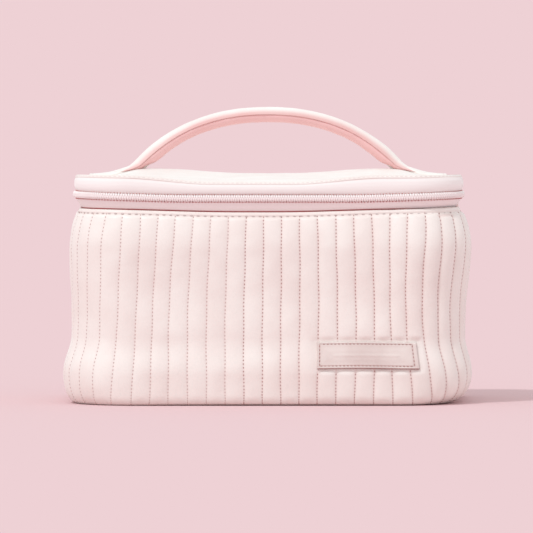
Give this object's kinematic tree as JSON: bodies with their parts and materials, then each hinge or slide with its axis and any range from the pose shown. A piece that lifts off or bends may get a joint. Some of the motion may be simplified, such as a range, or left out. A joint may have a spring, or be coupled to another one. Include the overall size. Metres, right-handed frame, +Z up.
{
  "type": "makeup bag",
  "caption": "Soft box-shaped makeup bag with vertically quilted walls, a padded zip-round lid hinged along the back and an arched carrying handle.",
  "frame": {"origin": "on the floor under the middle of the bag", "axes": "+X to the bag's right along its long side, -Y to the front where the label patch is, +Z up"},
  "size_m": [0.2592, 0.1607, 0.189],
  "materials": {
    "leathercloth": "soft semi-matt coated leathercloth with a fine grain",
    "foam": "matt open-cell foam and wadding",
    "stiffener_board": "matt",
    "satin_lining": "satin weave",
    "woven_tape": "matt herringbone weave",
    "nylon_coil": "semi-gloss",
    "enamelled_metal": "gloss enamel"
  },
  "bodies": {
    "body": {"base_panel": "leathercloth", "base_board": "stiffener_board", "base_foam": "foam", "base_lining": "satin_lining", "base_binding": "woven_tape", "quilted_skin": "leathercloth", "wall_wadding": "foam", "back_panel": "leathercloth", "back_wadding": "foam", "wall_lining": "satin_lining", "label_patch": "leathercloth", "zip_tape_lower": "woven_tape", "zip_coil_lower": "nylon_coil", "hinge_strip_lower": "leathercloth"},
    "lid": {"lid_top_panel": "leathercloth", "lid_foam": "foam", "lid_board": "stiffener_board", "lid_lining": "satin_lining", "lid_binding": "woven_tape", "lid_back_band": "leathercloth", "zip_tape_upper": "woven_tape", "zip_coil_upper": "nylon_coil", "hinge_strip_upper": "leathercloth", "handle_tab_left": "leathercloth", "handle_tab_right": "leathercloth"},
    "handle": {"handle_cover_outer": "leathercloth", "handle_cover_inner": "leathercloth", "handle_core": "foam"},
    "slider": {"zip_slider": "enamelled_metal"},
    "pull": {"pull_bail": "enamelled_metal", "pull_tab": "enamelled_metal"}
  },
  "joints": [
    {"name": "lid_hinge", "type": "hinge", "parent": "body", "child": "lid", "pos_m": [0, 0.0731, 0.132], "axis": [-1, 0, 0], "range_deg": [0, 110]},
    {"name": "handle_fold", "type": "hinge", "parent": "lid", "child": "handle", "pos_m": [0, 0, 0.1521], "axis": [1, 0, 0], "range_deg": [-80, 80], "stiffness_Nm_per_rad": 0.02},
    {"name": "slider_travel", "type": "hinge", "parent": "body", "child": "slider", "pos_m": [0.088, 0.038, 0.132], "axis": [0, 0, -1], "range_deg": [0, 35]},
    {"name": "pull_swing", "type": "hinge", "parent": "slider", "child": "pull", "pos_m": [0.12175, 0.06163, 0.132], "axis": [0.5736, -0.8192, 0], "range_deg": [0, 160]}
  ]
}
